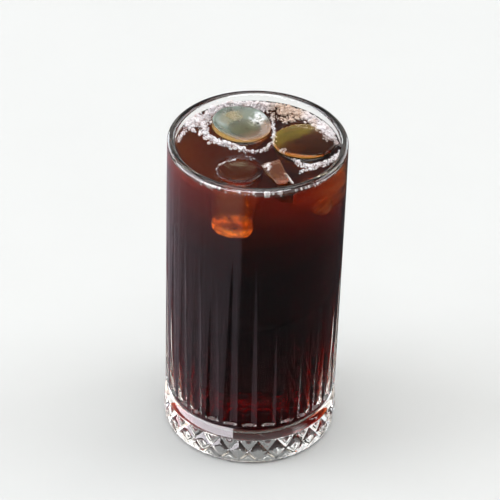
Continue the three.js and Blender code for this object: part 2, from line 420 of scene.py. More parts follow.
@dataclass(frozen=True)
class Cloud:
    """Where ice is cloudy: a tinted spot and a streaked spot of painted white highlight on its upper faces,
    and a core below a height. Where a core is used, its orange tone and its emitted glow are painted light,
    for light shining through thin coffee.

    A spot is its x, y and radius in millimetres, or for the glow its x, height and radius. The fades of
    the core and the glow are heights from the core's own.
    """

    amount: float = 0.1
    spot: Triple = (0.0, 0.0, 100.0)
    tone: Colour = (0.80, 0.84, 0.80, 1.0)
    front_tone: Colour | None = None
    painted_highlight: float = 0.0
    highlight_spot: Triple = (0.0, 0.0, 1.0)
    highlight_tone: Colour = (0.85, 0.88, 0.90, 1.0)
    core: float = 0.0
    core_height: float = 100.0
    glow: float = 0.0
    glow_spot: Triple = (0.0, 0.0, 1.0)
    full_share: float = 0.35
    upward: Span = (0.3, 0.75)
    upper_heights: Span = (136.0, 138.5)
    core_fade: Span = (-3.0, 1.0)
    front_fade: Span = (3.0, 11.0)
    front_wander: float = 9.0
    glow_edge: float = 0.8
    glow_fade: Span = (-6.5, -2.5)
    least_glow: float = 0.15

    def nearness(self, graph: Graph, spot: Triple) -> Wire:
        """1 in the full share of a spot, falling to 0 at its radius, on upper faces only.

        Args:
            graph: the material's graph.
            spot: the spot's x, y and radius.

        Returns:
            The nearness.
        """
        x, y, z = graph.axes()
        fade = distance(x, y, spot).ramp(self.full_share * spot[2], spot[2])
        upper = graph.normal_z().ramp(*self.upward) * z.ramp(*self.upper_heights)
        return upper * (1.0 - fade)

    def share(self, graph: Graph) -> Wire:
        """How cloudy the ice is at each place: the tinted spot and the core, or the painted highlight where
        that is more.

        Args:
            graph: the material's graph.

        Returns:
            The share of cloud, from 0 to 1.
        """
        z = graph.axes()[2]
        top = CLOUD_PATCHES.over(graph) * self.nearness(graph, self.spot) * self.amount
        below = CLOUD_LUMPS.over(graph) * (1.0 - self.rising(z, self.core_fade))
        return (top + below * self.core).largest(self.painted_highlight_share(graph)).smallest(1.0)

    def rising(self, height: Wire, fade: Span) -> Wire:
        """0 below a fade and 1 above it, as heights from the core's own."""
        return height.ramp(self.core_height + fade[0], self.core_height + fade[1])

    def painted_highlight_share(self, graph: Graph) -> Wire:
        """The share of painted white highlight at each place, from 0 to 1, in ragged streaks."""
        return self.nearness(graph, self.highlight_spot) * HIGHLIGHT_STREAKS.over(graph) * self.painted_highlight

    def painted_glow(self, graph: Graph) -> Wire:
        """Painted glow, for light that the clear ice leads down to its cloudy end: an arch round the glow's
        spot, weaker below.

        Args:
            graph: the material's graph.

        Returns:
            The painted glow's colour.
        """
        x, _, z = graph.axes()
        radius = self.glow_spot[2]
        arch = distance(x, z, self.glow_spot).ramp(self.full_share * radius, self.glow_edge * radius)
        fade = self.rising(z, self.glow_fade) * (1 - self.least_glow) + self.least_glow
        return graph.blend(arch * fade * GLOW_LUMPS.over(graph), BLACK, self.tone)

    def colour(self, graph: Graph) -> Wire:
        """The cloud's colour: the tone, another towards the front right, and the painted highlight's where
        that is.

        Args:
            graph: the material's graph.

        Returns:
            The colour.
        """
        tone: Any = self.tone
        if self.front_tone:
            x, y, _ = graph.axes()
            wander = (graph.noise(4.0, 3.0) - 0.5) * self.front_wander
            forward = x - self.spot[0] - (y - self.spot[1]) + wander
            tone = graph.blend(forward.ramp(*self.front_fade), self.tone, self.front_tone)
        return graph.blend(self.painted_highlight_share(graph), tone, self.highlight_tone)


@dataclass(frozen=True)
class IceFinish:
    """Wet ice, clear with cloudy patches; their colours carry painted highlights and glow."""

    name: str
    cloud: Cloud
    absorption: Triple | None = None
    wave_size: float = 5.0
    wave_depth: float = 0.2

    def material(self) -> bpy.types.Material:
        """Builds the material: clear ice mixed with a white, finely crazed one, which carries the cloud's
        tones and painted light.

        Returns:
            The material, with absorption inside it where the ice is stained.
        """
        material, graph = new_material(self.name)
        skin = {"IOR": ICE_INDEX, "Normal": graph.bump(graph.noise(self.wave_size), self.wave_depth)}
        clear = graph.principled(skin | {"Base Color": WHITE, "Roughness": 0.02, "Transmission Weight": 1.0})
        tone = self.cloud.colour(graph)
        inputs = skin | {"Base Color": tone, "Roughness": 0.12, "Transmission Weight": 0.1}
        # Painted glow: the crazed ice emits light in the glow's arch, though it is no lamp.
        if self.cloud.glow:
            inputs |= {"Emission Color": self.cloud.painted_glow(graph), "Emission Strength": self.cloud.glow}
        crazed = graph.principled(inputs)
        surface = graph.node("ShaderNodeMixShader", None, {0: self.cloud.share(graph), 1: clear, 2: crazed})
        graph.finish(surface, absorbing(graph, self.absorption) if self.absorption else None)
        return material


@dataclass(frozen=True)
class FoamFinish:
    """Fine coffee foam: pale, wet and a little see-through, tan round a spot at the back right and in random
    stains.
    """

    name: str = "coffee_foam"
    pale: Colour = (0.93, 0.88, 0.89, 1.0)
    shaded: Colour = (0.70, 0.60, 0.58, 1.0)
    tan: Colour = (0.66, 0.46, 0.31, 1.0)
    tan_spot: Triple = (12.0, 26.0, 11.0)
    tan_core: float = 0.4
    tan_share: float = 0.75
    index: float = 1.33
    clearness: float = 0.35
    roughness: float = 0.18

    def material(self) -> bpy.types.Material:
        """Builds the material.

        Returns:
            The material.
        """
        material, graph = new_material(self.name)
        x, y, _ = graph.axes()
        radius = self.tan_spot[2]
        near = 1.0 - distance(x, y, self.tan_spot).ramp(self.tan_core * radius, radius)
        mottled = graph.blend(FOAM_SHADE.over(graph), self.pale, self.shaded)
        colour = graph.blend((near * self.tan_share).largest(FOAM_STAINS.over(graph)), mottled, self.tan)
        graph.finish(graph.principled({"Base Color": colour, "Roughness": self.roughness, "IOR": self.index,
                                       "Transmission Weight": self.clearness}))
        return material


@dataclass(frozen=True)
class FloorFinish:
    """Plain pale matt table top, faintly uneven."""

    name: str = "pale_table"
    colour: Colour = (0.50, 0.50, 0.485, 1.0)
    darker: Colour = (0.48, 0.48, 0.4656, 1.0)
    spot_size: float = 60.0
    roughness: float = 0.45

    def material(self) -> bpy.types.Material:
        """Builds the material.

        Returns:
            The material.
        """
        material, graph = new_material(self.name)
        tone = graph.blend(graph.noise(self.spot_size, 3.0), self.colour, self.darker)
        graph.finish(graph.principled({
            "Base Color": tone, "Roughness": self.roughness, "Specular IOR Level": 0.3}))
        return material


# Mesh building

SQUARE = np.array([[-1, -1], [1, -1], [1, 1], [-1, 1]]) / 2
ONE_QUAD = np.array([[0, 1, 2, 3]])


def polar(radius: Array | float, azimuth: Array | float, height: Array | float) -> Array:
    """Points round the glass: x is radius times the azimuth's sine, y is minus radius times its cosine."""
    radius, azimuth, height = np.broadcast_arrays(radius, azimuth, height)
    return np.stack([radius * np.sin(azimuth), -radius * np.cos(azimuth), height], axis=-1)


def full_turn(columns: int) -> Array:
    """A row of evenly spaced azimuths all the way round."""
    return np.linspace(0, 2 * math.pi, columns, endpoint=False)[None, :]


def arc(centre: Span, radius: float, start: float, end: float, steps: int) -> Array:
    """Points of an arc in the plane of radius and height, from start to end degrees."""
    angle = np.radians(np.linspace(start, end, steps + 1))
    return np.stack([centre[0] + radius * np.cos(angle), centre[1] + radius * np.sin(angle)], axis=-1)


def turned_faces(rows: int, columns: int) -> Array:
    """Quads between the rings of a turned grid.

    Args:
        rows: how many rings there are.
        columns: how many points a ring has.

    Returns:
        (cells, 4) indices, each along its ring and then back along the next.
    """
    row = np.arange(rows - 1)[:, None]
    column = np.arange(columns)[None, :]
    following = (column + 1) % columns
    corners = [row * columns + column, row * columns + following,
               (row + 1) * columns + following, (row + 1) * columns + column]
    return np.stack(np.broadcast_arrays(*corners), axis=-1).reshape(-1, 4)


def closed_turned_mesh(points: Array) -> tuple[Array, Array]:
    """Closes a grid of rings with a pole at each end.

    A quad is split along its deeper diagonal, so that grooves stay straight.

    Args:
        points: (rings, columns, 3), ordered so that the rings run from one pole to the other.

    Returns:
        The vertices and the triangles.
    """
    rings, columns, _ = points.shape
    vertices = np.concatenate([points.reshape(-1, 3), points[[0, -1]].mean(axis=1)])
    quads = turned_faces(rings, columns)
    depth = np.hypot(vertices[:, 0], vertices[:, 1])[quads]
    rising = (depth[:, 0] + depth[:, 2] < depth[:, 1] + depth[:, 3])[:, None]
    first = np.where(rising, quads[:, [0, 1, 2]], quads[:, [0, 1, 3]])
    second = np.where(rising, quads[:, [0, 2, 3]], quads[:, [1, 2, 3]])
    column = np.arange(columns)
    following = (column + 1) % columns
    low_pole = np.full(columns, rings * columns)
    start = np.stack([low_pole, following, column], axis=-1)
    last = (rings - 1) * columns
    end = np.stack([last + column, last + following, low_pole + 1], axis=-1)
    return vertices, np.concatenate([start, first, second, end])


def make_piece(name: str, vertices: Array, faces: Array, materials: Sequence[bpy.types.Material],
               face_material: Array | None = None, sharp_angle: float | None = None) -> bpy.types.Object:
    """Makes a smooth mesh object at the origin.

    Args:
        name: the piece's name.
        vertices: (n, 3) points in millimetres.
        faces: (m, 3) indices.
        materials: the materials in order.
        face_material: index of each face's material.
        sharp_angle: edges that turn by more than this many degrees stay sharp.

    Returns:
        The object.
    """
    mesh = bpy.data.meshes.new(name)
    mesh.vertices.add(len(vertices))
    mesh.vertices.foreach_set("co", (vertices * MM).astype(np.float32).ravel())
    mesh.loops.add(faces.size)
    mesh.loops.foreach_set("vertex_index", faces.astype(np.int32).ravel())
    mesh.polygons.add(len(faces))
    mesh.polygons.foreach_set("loop_start", np.arange(0, faces.size, faces.shape[1], dtype=np.int32))
    for material in materials:
        mesh.materials.append(material)
    if face_material is not None:
        mesh.polygons.foreach_set("material_index", face_material.astype(np.int32))
    mesh.update(calc_edges=True)
    mesh.validate()
    mesh.shade_smooth()
    if sharp_angle is not None:
        mesh.set_sharp_from_angle(angle=math.radians(sharp_angle))
    piece = bpy.data.objects.new(name, mesh)
    bpy.context.scene.collection.objects.link(piece)
    return piece


def cut_away(piece: bpy.types.Object, cutters: Sequence[bpy.types.Object]) -> None:
    """Cuts the cutters out of a piece, applies the result and removes the cutters.

    Args:
        piece: the piece that is cut.
        cutters: closed shapes.
    """
    for cutter in cutters:
        modifier = piece.modifiers.new(cutter.name, "BOOLEAN")
        modifier.operation = "DIFFERENCE"
        modifier.solver = "MANIFOLD"
        modifier.object = cutter
    bpy.context.view_layer.update()
    evaluated = piece.evaluated_get(bpy.context.evaluated_depsgraph_get())
    mesh = bpy.data.meshes.new_from_object(evaluated)
    piece.modifiers.clear()
    piece.data = mesh
    mesh.shade_smooth()
    for cutter in cutters:
        bpy.data.objects.remove(cutter)


def put_in_model(piece: bpy.types.Object, slot: Slot, *nodes: Node) -> None:
    """Lets a piece ride on the body and stand for its nodes, and reports it.

    Args:
        piece: the finished piece.
        slot: its material slot; not used.
        nodes: the model's nodes that it replaces, if any.
    """
    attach(piece, BODY)
    if nodes:
        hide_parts(*(node.value for node in nodes))
    LOG.info("%s: %d faces", piece.name, len(piece.data.polygons))


# The glass


@dataclass
class Cavity:
    """The hollow of the glass: a nearly straight wall, a rounded corner and a flat floor."""

    lip_radius: float = 34.7
    lip_height: float = 144.35
    foot_radius: float = 33.5
    floor_height: float = 8.5
    corner: float = 13.0
    corner_rise: float = 46.0
    corner_power: float = 2.6
    rings_above: float = 4.0

    @property
    def corner_top(self) -> float:
        """Height at which the corner meets the wall."""
        return self.floor_height + self.corner_rise

    @property
    def wall_start(self) -> float:
        """Height of the lowest ring on the straight wall."""
        return self.corner_top + self.rings_above

    def wall(self, height: Array | float) -> Array | float:
        """Radius of the wall at a height: a straight line from the corner to the lip."""
        share = (height - self.corner_top) / (self.lip_height - self.corner_top)
        return self.foot_radius + (self.lip_radius - self.foot_radius) * share

    def inner_radius(self, height: Array) -> Array:
        """Radius of the wall, or of the corner, at heights above the floor.

        Down the corner, the share of its width and the share of its rise lie on a superellipse: each
        raised to the power, the two add up to 1.

        Args:
            height: the heights.

        Returns:
            The radii.
        """
        down = np.clip((self.corner_top - height) / self.corner_rise, 0, 1)
        inward = self.corner * (1 - (1 - down ** self.corner_power) ** (1 / self.corner_power))
        return np.where(height < self.corner_top, self.foot_radius, self.wall(height)) - inward

    def corner_arc(self, grow: float, steps: int) -> Array:
        """The corner from the wall down to the floor, moved outwards by grow.

        It is a quarter of a superellipse: the sine and cosine of a circle, each raised to 2 over the power.

        Args:
            grow: how far it moves outwards.
            steps: into how many steps it is split.

        Returns:
            Radius and height of its points.
        """
        centre = np.array([self.foot_radius - self.corner, self.corner_top])
        quarter = np.abs(arc((0.0, 0.0), 1.0, 0, -90, steps)) ** (2 / self.corner_power)
        return centre + quarter * [self.corner + grow, -self.corner_rise - grow]


@dataclass
class FlutedGlass:
    """A straight pressed glass: plain band, flutes, ring, and a base cut with diamonds."""

    cavity: Cavity
    height: float
    radius: float
    flutes: int = 28
    first_arris: float = 6.8
    body_foot: float = 37.5
    flute_depth: float = 1.3
    flute_curve: float = 0.117
    flute_top: float = 114.0
    flute_foot: float = 21.95
    flute_fade: float = 1.1
    ring_spacing: float = 1.1
    least_flute: float = 0.04
    ring: tuple[Span, ...] = (
        (37.45, 13.15), (37.6, 13.7), (37.55, 14.2), (37.3, 15.6), (37.0, 17.0), (36.7, 18.3), (36.62, 19.0),
        (36.75, 19.6), (37.1, 20.2), (37.4, 20.7), (37.48, 21.35))
    waist: float = 7.4
    half_diamond: float = 5.5
    diamond_depth: float = 0.5
    groove_sharpness: float = 2.4
    barrel: float = 38.0
    barrel_swell: float = 0.5
    foot_radius: float = 34.8
    foot_inset: float = 0.2
    lip: float = 3.3
    columns_per_flute: int = 12
    level: float = 141.5
    foot_shares: Triple = (0.3, 0.65, 0.9)
    floor_shares: Triple = (0.75, 0.4, 0.15)
    band_heights: Triple = (118.0, 130.0, 142.0)
    dry_heights: Triple = (142.6, 142.2, 141.9)
    wet_heights: tuple[float, ...] = (140.5, 132.0, 112.0, 90.0, 68.0)
    across_flute: tuple[float, ...] = (-1, -0.8, -0.55, -0.28, 0, 0.28, 0.55, 0.8, 1)
    flute_rings: int = 40
    even: Array = field(init=False)

    def __post_init__(self) -> None:
        """Works out the evenly spaced azimuths of the columns."""
        pitch = 2 * math.pi / self.flutes
        steps = np.arange(self.flutes * self.columns_per_flute) / self.columns_per_flute
        self.even = math.radians(self.first_arris) + pitch * steps

    def flute_rows(self) -> Array:
        """The fluted wall: a round cutter goes in deeper almost in a straight line, from a point to the foot.

        Across a flute the hollow is the cut's depth minus a square of the distance, so its half width is
        the root of depth over curve. The columns follow the edges of the flutes, and lands stay between.

        Returns:
            (rings, columns, 3) points.
        """
        span = self.flute_top - self.flute_foot
        height = self.flute_foot + span * np.linspace(0, 1, self.flute_rings)[:, None] ** self.ring_spacing
        body = self.body_foot + (self.radius - self.body_foot) * (height - self.flute_foot) / span
        depth = self.flute_depth * ((self.flute_top - height) / span) ** self.flute_fade
        half_pitch = math.pi / self.flutes
        half = np.maximum(np.sqrt(depth / self.flute_curve) / self.radius / half_pitch, self.least_flute)
        inside = half * np.array([self.across_flute])
        land = (1 + half) / 2
        across = np.concatenate([-np.ones_like(half), -land, inside, land], axis=1)
        hollow = np.maximum(depth - self.flute_curve * (across * half_pitch * self.radius) ** 2, 0)
        centres = math.radians(self.first_arris) + half_pitch * (2 * np.arange(self.flutes) + 1)
        azimuth = (centres[None, :, None] + half_pitch * across[:, None, :]).reshape(len(height), -1)
        return polar(body - np.tile(hollow, self.flutes), azimuth, height)

    def diamond_rows(self) -> Array:
        """The cut base: on a barrelled wall, pyramids between two families of crossing grooves.

        With a and b as steps of half a diamond round and up, the height of a pyramid is twice
        the smaller distance of (a + b) / 2 and (a - b) / 2 from a whole number, and its sides
        are hollowed by a power. The crossings on the waist lie under the middles of the flutes.

        Returns:
            (rings, columns, 3) points.
        """
        per_half = self.columns_per_flute // 2
        b = np.linspace(-1, 1, 2 * per_half + 1)[:, None]
        a = (np.arange(len(self.even)) / per_half)[None, :] + 1
        nearest = [np.abs(v - np.round(v)) for v in ((a + b) / 2, (a - b) / 2)]
        relief = self.diamond_depth * (1 - 2 * np.minimum(*nearest)) ** self.groove_sharpness
        radius = self.barrel - self.barrel_swell * b ** 2 - relief
        return polar(radius, self.even, self.waist + self.half_diamond * b)

    def plain_rows(self, outline: Array) -> Array:
        """Plain rings through an outline of radius and height."""
        return polar(outline[:, :1], self.even, outline[:, 1:])

    def rows(self) -> Array:
        """All rings, from the middle of the foot up the outside and down the inside to the floor.

        The heel is a quarter of an ellipse. The wall's rings lie close together where the coffee ends.

        Returns:
            (rings, columns, 3) points.
        """
        heel_size = (self.barrel - self.barrel_swell - self.foot_inset - self.foot_radius,
                     self.waist - self.half_diamond)
        heel = np.array([self.foot_radius, 0.0]) + arc((0.0, 1.0), 1.0, -90, 0, 6) * heel_size
        half = self.lip / 2
        lip = arc((self.radius - half, self.height - half), half, 0, 180, 16)
        heights = np.array([*self.dry_heights, self.level + 0.2, self.level, *self.wet_heights,
                            self.cavity.wall_start])
        corner = self.cavity.corner_arc(0.0, 16)
        below = np.array([[self.foot_radius * share, 0.0] for share in self.foot_shares])
        band = np.array([[self.radius, height] for height in self.band_heights])
        wall = np.stack([self.cavity.wall(heights), heights], axis=-1)
        floor = np.array([[corner[-1, 0] * share, self.cavity.floor_height] for share in self.floor_shares])
        return np.concatenate([
            self.plain_rows(np.concatenate([below, heel[:-1]])), self.diamond_rows(),
            self.plain_rows(np.array(self.ring)), self.flute_rows(),
            self.plain_rows(np.concatenate([band, lip, wall, corner, floor]))])

    def build(self) -> None:
        """Builds the glass. The part of its inner wall that the coffee wets bends light less."""
        near, above = 0.3, 0.15
        vertices, faces = closed_turned_mesh(self.rows())
        x, y, z = vertices[faces].mean(axis=1).T
        inside = (np.hypot(x, y) < self.cavity.wall(z) + near) & (z > self.cavity.floor_height - near)
        wet = inside & (z < self.level + above)
        dry_glass = ClearFinish("clear_glass", wave_depth=0.04)
        wet_glass = ClearFinish("wetted_glass", GLASS_INDEX / COFFEE_INDEX)
        materials = [dry_glass.material(), wet_glass.material()]
        piece = make_piece("fluted_glass", vertices, faces, materials, wet, sharp_angle=13)
        put_in_model(piece, Slot.GLASS, Node.GLASS)


# Ice


@dataclass(frozen=True)
class MeltWave:
    """A wave that swells melted ice: its size, how often it goes round, and its shift per millimetre up."""

    swell: float
    turns: int
    per_mm: float = 0.0


MELT_WAVES = (MeltWave(1.0, 3, 1 / 9), MeltWave(0.6, 5, -1 / 6), MeltWave(0.5, 2), MeltWave(0.3, 9, 1 / 4))


@dataclass
class ThimbleIce:
    """Clear ice moulded as a thimble, wide end up, with a dish (or below zero a dome) in that end."""

    name: str
    node: Node | None
    top: Triple
    lean: float
    towards: float
    top_radius: float
    tip_radius: float
    length: float
    dish: float
    roundness: float = 1.3
    wobble: float = 0.25
    cloud: Cloud = Cloud()
    stain: Triple | None = None
    seed: int = 1
    columns: int = 72
    edge_wear: float = 0.0
    sharp_angle: float = 60.0

    def outline(self, grow: float) -> Array:
        """The thimble's outline from the tip to the middle of the wide end, which is dished by a square law.

        Args:
            grow: how far it moves outwards.

        Returns:
            Radius and height of its points.
        """
        top, tip, soft = self.top_radius + grow, self.tip_radius + grow, 3 * self.roundness
        low = arc((tip - soft, -self.length - grow + soft), soft, -90, 0, 8)
        high = arc((top - self.roundness, grow - self.roundness), self.roundness, 0, 90, 8)
        side = low[-1] + (high[0] - low[-1]) * np.linspace(0, 1, 10)[1:-1, None]
        share = np.linspace(1, 0, 14)[1:-1]
        dish = np.stack([share * high[-1, 0], grow - self.dish * (1 - share ** 2)], axis=-1)
        start = np.array([[0.3 * low[0, 0], low[0, 1]], [0.7 * low[0, 0], low[0, 1]]])
        return np.concatenate([start, low, side, high, dish])

    def mesh(self, grow: float = 0.0) -> tuple[Array, Array]:
        """The thimble, melted a little out of round: slow waves round and along it swell its radius.

        Args:
            grow: how far its skin moves outwards.

        Returns:
            The vertices and the triangles.
        """
        outline = self.outline(grow)
        azimuth = full_turn(self.columns)
        radius, height = outline[:, :1], outline[:, 1:]
        phases = np.random.default_rng(self.seed).uniform(0, 2 * math.pi, len(MELT_WAVES))
        waves = sum(wave.swell * np.sin(wave.turns * azimuth + phase + wave.per_mm * height)
                    for wave, phase in zip(MELT_WAVES, phases))
        swell = self.wobble * waves * radius / self.top_radius
        vertices, faces = closed_turned_mesh(polar(radius + swell, azimuth, height))
        return self.placed(vertices), faces

    def placed(self, vertices: Array) -> Array:
        """Leans the thimble towards its azimuth and moves it to its place.

        Args:
            vertices: (n, 3) points, with the middle of the wide end at the origin.

        Returns:
            The points in the glass.
        """
        aim = math.radians(self.towards)
        axis = (math.cos(aim), math.sin(aim), 0.0)
        turn = np.array(Matrix.Rotation(math.radians(self.lean), 3, axis))
        return vertices @ turn.T + np.array(self.top)

    def beside(self, points: Array) -> Array:
        """How far points of the drink's surface are from the thimble's wide end, without its lean."""
        return np.abs(np.hypot(points[..., 0] - self.top[0], points[..., 1] - self.top[1]) - self.top_radius)


@dataclass
class ShardIce:
    """A cracked corner of ice with flat faces, as the hull of its corners."""

    name: str
    node: Node | None
    corners: tuple[Triple, ...]
    cloud: Cloud = Cloud(0.12)
    stain: Triple | None = None
    edge_wear: float = 0.3
    sharp_angle: float = 25.0

    def mesh(self, grow: float = 0.0) -> tuple[Array, Array]:
        """The hull of the corners.

        Args:
            grow: how far each corner moves away from their middle.

        Returns:
            The vertices and the triangles.
        """
        corners = np.array(self.corners)
        outward = corners - corners.mean(axis=0)
        return convex_hull(corners + grow * outward / np.linalg.norm(outward, axis=1, keepdims=True))


def convex_hull(points: Array) -> tuple[Array, Array]:
    """The convex hull of a few points: every triple that has all the other points on one side.

    Args:
        points: (n, 3) points.

    Returns:
        The points and the outward triangles.
    """
    nearly = 1e-6
    triples = np.array(list(combinations(range(len(points)), 3)))
    a, b, c = (points[triples[:, n]] for n in range(3))
    normal = np.cross(b - a, c - a)
    side = np.einsum("tpi,ti->tp", points[None] - a[:, None], normal)
    below, above = (side < nearly).all(axis=1), (side > -nearly).all(axis=1)
    return points, np.concatenate([triples[below], triples[above][:, ::-1]])


Ice = ThimbleIce | ShardIce

SURFACE_ICE: tuple[Ice, ...] = (
    # Back left: cloudy, its green-grey tone partly a painted reflection; its streaked spot is a painted white
    # highlight.
    ThimbleIce("thimble_ice_back_left", Node.ICE_BACK_LEFT, (-6.8, 15.0, 144.2), lean=6, towards=70,
               top_radius=12.4, tip_radius=9.4, length=26, dish=4.2, roundness=1.1, seed=3,
               cloud=Cloud(0.93, (-7.0, 15.5, 60.0), (0.15, 0.185, 0.15, 1.0), (0.26, 0.19, 0.15, 1.0),
                           0.9, (-0.4, 20.6, 5.0)), stain=(0.014, 0.020, 0.036)),
    # Back right: its tinted spot is a painted yellow-green highlight.
    ThimbleIce("thimble_ice_back_right", Node.ICE_BACK_RIGHT, (19.4, 5.6, 142.7), lean=4.5, towards=175,
               top_radius=13.3, tip_radius=10.0, length=26, dish=-0.9, roundness=0.8, seed=5,
               cloud=Cloud(0.34, (13.5, 10.5, 30.0), (0.38, 0.27, 0.03, 1.0), (0.10, 0.025, 0.004, 1.0)),
               stain=(0.012, 0.022, 0.045)),
    # Front left: its orange core and emitted glow are painted light, for light shining through thin coffee at
    # its tip.
    ThimbleIce("thimble_ice_front_left", Node.ICE_FRONT_LEFT, (-7.6, -17.8, 141.9), lean=11, towards=172,
               top_radius=10.0, tip_radius=7.6, length=26.5, dish=2.4, roundness=1.1, seed=8,
               cloud=Cloud(0.0, tone=(1.0, 0.37, 0.11, 1.0), core=1.0, core_height=122.0,
                           glow=0.95, glow_spot=(-6.5, 111.0, 11.0)),
               stain=(0.018, 0.045, 0.08)),
    # Shard: its orange-brown core stands for painted glints at its lower edge; its streaked spot is a painted
    # white highlight.
    ShardIce("cracked_ice_front", Node.ICE_SHARD, (
        (1.6, -13.8, 142.9), (5.2, -19.2, 143.2), (9.2, -12.8, 145.1), (13.9, -25.4, 142.6),
        (8.6, -27.2, 141.9), (6.2, -15.6, 132.0), (12.8, -13.6, 131.5), (13.2, -21.2, 132.0),
        (9.2, -22.6, 133.0)),
        Cloud(0.20, (7.0, -18.0, 60.0), (0.50, 0.20, 0.11, 1.0), painted_highlight=0.9, highlight_spot=(3.4, -16.2, 4.4),
              core=0.5, core_height=133.0),
        stain=(0.006, 0.05, 0.12)),
)

SUNK_ICE: tuple[Ice, ...] = (
    # Its orange core is a painted glow, for light shining through thin coffee.
    ThimbleIce("sunk_ice_right", None, (22.3, -11.5, 125.5), lean=30, towards=300,
               top_radius=4.8, tip_radius=3.8, length=7, dish=1.0, seed=12,
               cloud=Cloud(0.0, tone=(0.95, 0.24, 0.04, 1.0), core=0.4, core_height=123.0)),
)


@dataclass
class IceSet:
    """All the ice: what shows above the drink stands for its node, the rest is sunk."""

    pieces: tuple[Ice, ...]

    def build(self) -> None:
        """Builds every piece."""
        for ice in self.pieces:
            material = IceFinish(f"{ice.name}_clear", ice.cloud, ice.stain).material()
            piece = make_piece(ice.name, *ice.mesh(), [material], sharp_angle=ice.sharp_angle)
            if ice.edge_wear:
                bevel = piece.modifiers.new("worn_edges", "BEVEL")
                bevel.width = ice.edge_wear * MM
                bevel.segments = 2
            put_in_model(piece, Slot.ICE, *([ice.node] if ice.node else []))


# The drink


@dataclass
class Coffee:
    """The drink: it fills the hollow, reaches just into the wall and is cut out round the ice."""

    cavity: Cavity
    level: float
    overlap: float = 0.08
    rise: float = 0.8
    reach: float = 1.1
    ice_rise_share: float = 0.9
    columns: int = 168
    edge_rings: int = 12
    edge_share: float = 0.12
    inner_rings: int = 56
    inner_shares: Span = (0.86, 0.02)
    floor_shares: Span = (0.2, 0.6)
    ice_overlap: float = -0.08

    def surface(self, ice: Sequence[Ice]) -> Array:
        """Rings of the top from the wall inwards, close together near the wall.

        It is level, plus a rise at the wall and the ice that fades exponentially with the distance.

        Args:
            ice: the pieces that break the surface.

        Returns:
            (rings, columns, 3) points.
        """
        edge = self.cavity.wall(self.level) + self.overlap
        near_wall = 1 - np.linspace(0, self.edge_share, self.edge_rings)
        share = np.concatenate([near_wall, np.linspace(*self.inner_shares, self.inner_rings)])[:, None]
        points = polar(edge * share, full_turn(self.columns), 0.0)
        lift = np.exp(-(edge - edge * share) / self.reach)
        for piece in ice:
            if isinstance(piece, ThimbleIce):
                beside = np.exp(-piece.beside(points) / self.reach)
                lift = np.maximum(lift, self.ice_rise_share * beside)
        points[..., 2] = self.level + self.rise * lift
        return points

    def build(self, surface_ice: Sequence[Ice], sunk_ice: Sequence[Ice]) -> None:
        """Builds the drink as one closed skin and cuts the ice out of it.

        Args:
            surface_ice: the pieces that break the surface.
            sunk_ice: the pieces below it.
        """
        corner = self.cavity.corner_arc(self.overlap, 16)[::-1]
        floor = np.array([[corner[0, 0] * share, corner[0, 1]] for share in self.floor_shares])
        heights = np.linspace(self.cavity.wall_start, self.level, 10)
        wall = np.stack([self.cavity.wall(heights) + self.overlap, heights], axis=-1)
        outline = np.concatenate([floor, corner, wall])
        body = polar(outline[:, :1], full_turn(self.columns), outline[:, 1:])
        vertices, faces = closed_turned_mesh(np.concatenate([body, self.surface(surface_ice)]))
        material = CoffeeFinish().material()
        piece = make_piece("black_coffee", vertices, faces, [material])
        cut_away(piece, [make_piece(f"cutter_{ice.name}", *ice.mesh(self.ice_overlap), [material])
                         for ice in (*surface_ice, *sunk_ice)])
        put_in_model(piece, Slot.COFFEE, Node.COFFEE)


@dataclass(frozen=True)
class Layer:
    """A layer inside the coffee, between two heights or down to the floor of the glass.

    By slant, its top dips to the right, where the melt water reaches deeper, and its bottom rises.
    """

    name: str
    top: float
    bottom: float | None = None
    absorption: Triple | None = None
    haze: float = 0.0
    slant: float = 0.22


LAYERS = (
    Layer("melt_haze_0", 141.2, 124.0, haze=0.0019),
    Layer("melt_haze_1", 141.1, 113.0, haze=0.0018),
    Layer("melt_haze_2", 141.0, 98.0, haze=0.0012),
    Layer("melt_haze_3", 140.9, 70.0, haze=0.0004),
    Layer("deep_coffee_0", 133.0, absorption=(0.003, 0.007, 0.014)),
    Layer("deep_coffee_1", 126.0, absorption=(0.007, 0.018, 0.036)),
    Layer("deep_coffee_2", 118.5, absorption=(0.018, 0.045, 0.09)),
    Layer("deep_coffee_3", 110.0, absorption=(0.010, 0.07, 0.15)),
    Layer("deep_coffee_4", 101.0, 40.0, absorption=(0.018, 0.07, 0.15)),
    Layer("settled_coffee", 15.0, absorption=(0.03, 0.20, 0.25), slant=0.0),
)


